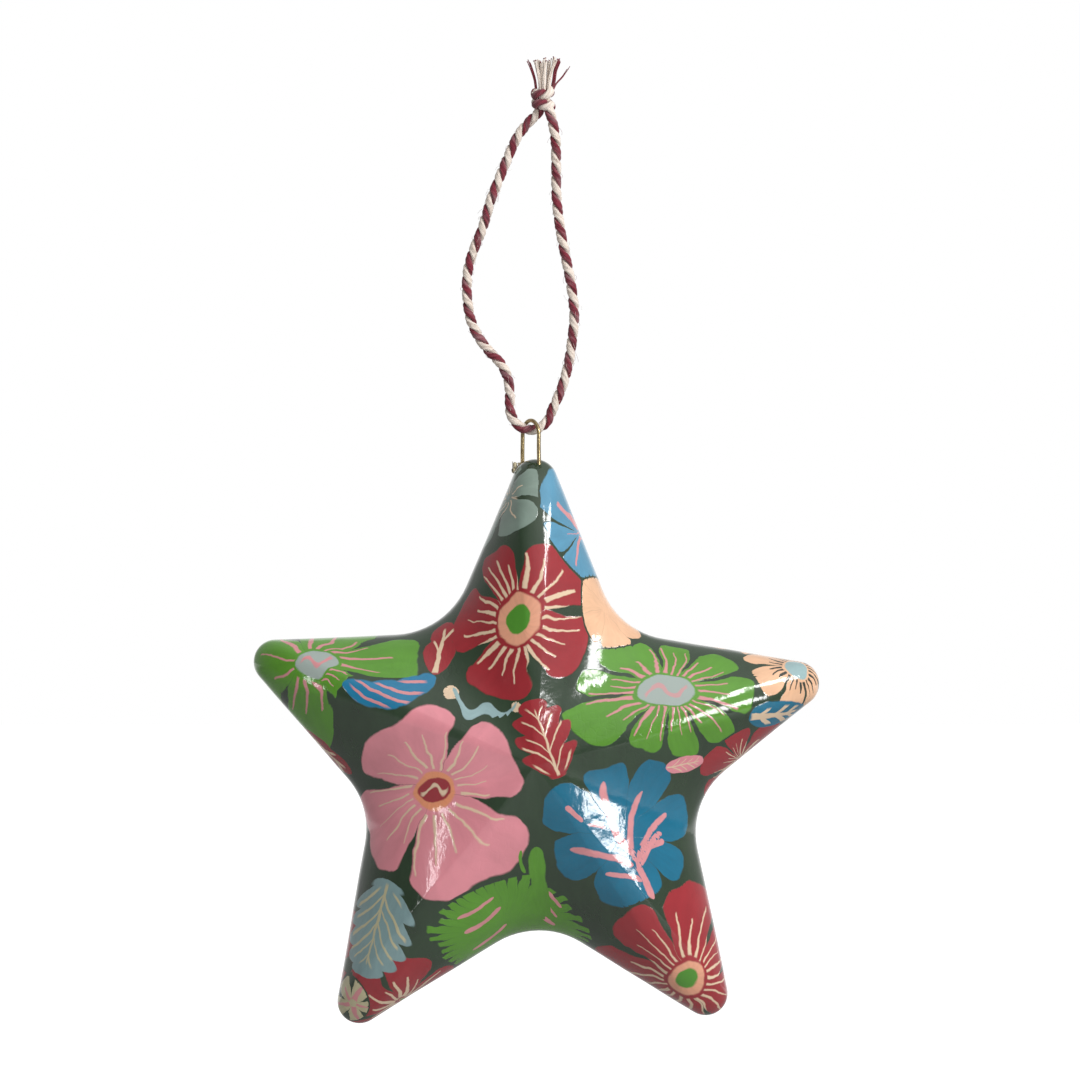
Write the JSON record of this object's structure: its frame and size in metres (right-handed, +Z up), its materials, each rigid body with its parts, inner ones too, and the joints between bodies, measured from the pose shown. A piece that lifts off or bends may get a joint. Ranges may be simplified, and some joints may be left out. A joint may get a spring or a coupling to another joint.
{
  "type": "hanging star decoration",
  "caption": "Puffy star ornament of lacquered, hand-painted papier-mache, hung by a brass wire eye from a knotted loop of two-colour twine.",
  "frame": {"origin": "the hanging point: the underside of the knot, where the loop's two legs meet", "axes": "+Z up, the star hangs down -Z; +X to the right of the painted front; the front faces -Y"},
  "size_m": [0.0904, 0.028, 0.1544],
  "materials": {
    "lacquered_pulp": "hand-painted flowers on dark green under clear gloss lacquer",
    "paste": "matt dried paste",
    "brass_wire": "drawn wire, lightly aged",
    "bare_pulp": "matt paper pulp",
    "glue": "dried glue with pulp fibres",
    "twine": "red and cream cotton twisted together",
    "cream_yarn": "undyed cotton",
    "red_yarn": "dark red cotton"
  },
  "bodies": {
    "cord": {"cord_loop": "twine", "cord_knot": "twine", "cream_yarn_1": "cream_yarn", "cream_yarn_2": "cream_yarn", "cream_yarn_3": "cream_yarn", "cream_yarn_4": "cream_yarn", "cream_yarn_5": "cream_yarn", "red_yarn_1": "red_yarn", "red_yarn_2": "red_yarn", "red_yarn_3": "red_yarn"},
    "star": {"front_shell": "lacquered_pulp", "back_shell": "lacquered_pulp", "join_paste": "paste", "hanging_eye": "brass_wire", "anchor_plug": "bare_pulp", "glue_bead": "glue"}
  },
  "joints": [
    {"name": "star_swing", "type": "hinge", "parent": "cord", "child": "star", "pos_m": [-0.00195, 0, -0.05095], "axis": [1, 0, 0], "range_deg": [-120, 120]}
  ]
}
